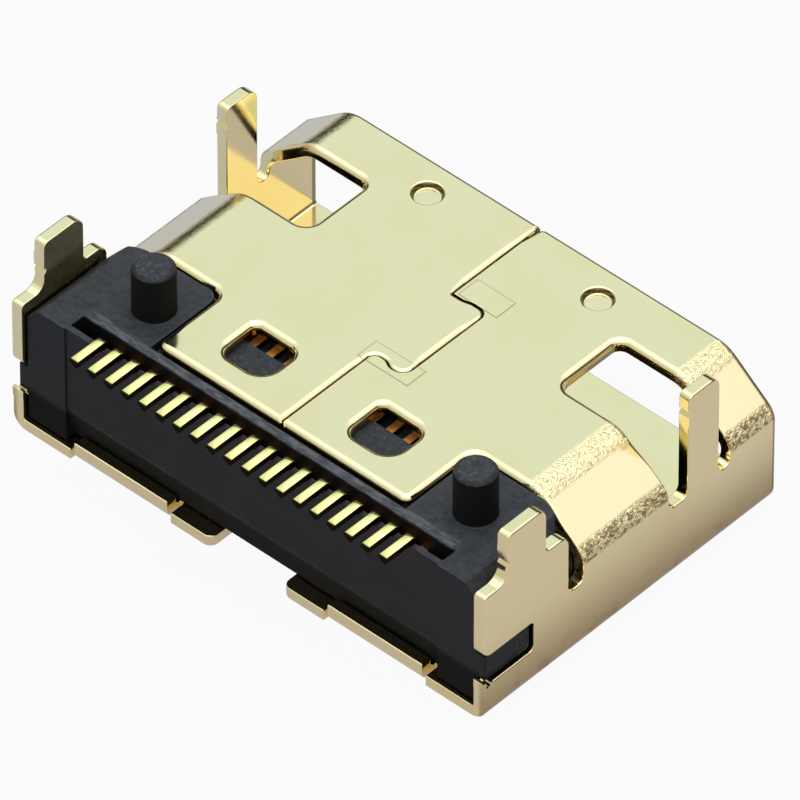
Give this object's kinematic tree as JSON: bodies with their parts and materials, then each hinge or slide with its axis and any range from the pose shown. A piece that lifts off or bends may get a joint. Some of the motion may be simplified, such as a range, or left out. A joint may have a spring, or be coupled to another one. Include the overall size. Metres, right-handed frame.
{
  "type": "mini video board socket",
  "caption": "Small digital video socket for a circuit board: folded gold-plated shell with four solder legs, black insulator with two locating posts, and one row of bent contacts.",
  "frame": {"origin": "under the middle of the whole part, on the plane of its wide flat face", "axes": "+Z out of the board side, along legs and posts; +Y out of the mouth; X along the contact row"},
  "size_m": [0.011, 0.008, 0.004],
  "materials": {
    "shell_plate": "bright gold plate on stamped sheet",
    "insulator": "moulded, fine matt",
    "contact_plate": "gold plate on stamped strip"
  },
  "bodies": {
    "root": {"shell": "shell_plate", "housing": "insulator", "contact_01": "contact_plate", "contact_02": "contact_plate", "contact_03": "contact_plate", "contact_04": "contact_plate", "contact_05": "contact_plate", "contact_06": "contact_plate", "contact_07": "contact_plate", "contact_08": "contact_plate", "contact_09": "contact_plate", "contact_10": "contact_plate", "contact_11": "contact_plate", "contact_12": "contact_plate", "contact_13": "contact_plate", "contact_14": "contact_plate", "contact_15": "contact_plate", "contact_16": "contact_plate", "contact_17": "contact_plate", "contact_18": "contact_plate", "contact_19": "contact_plate"}
  },
  "joints": []
}
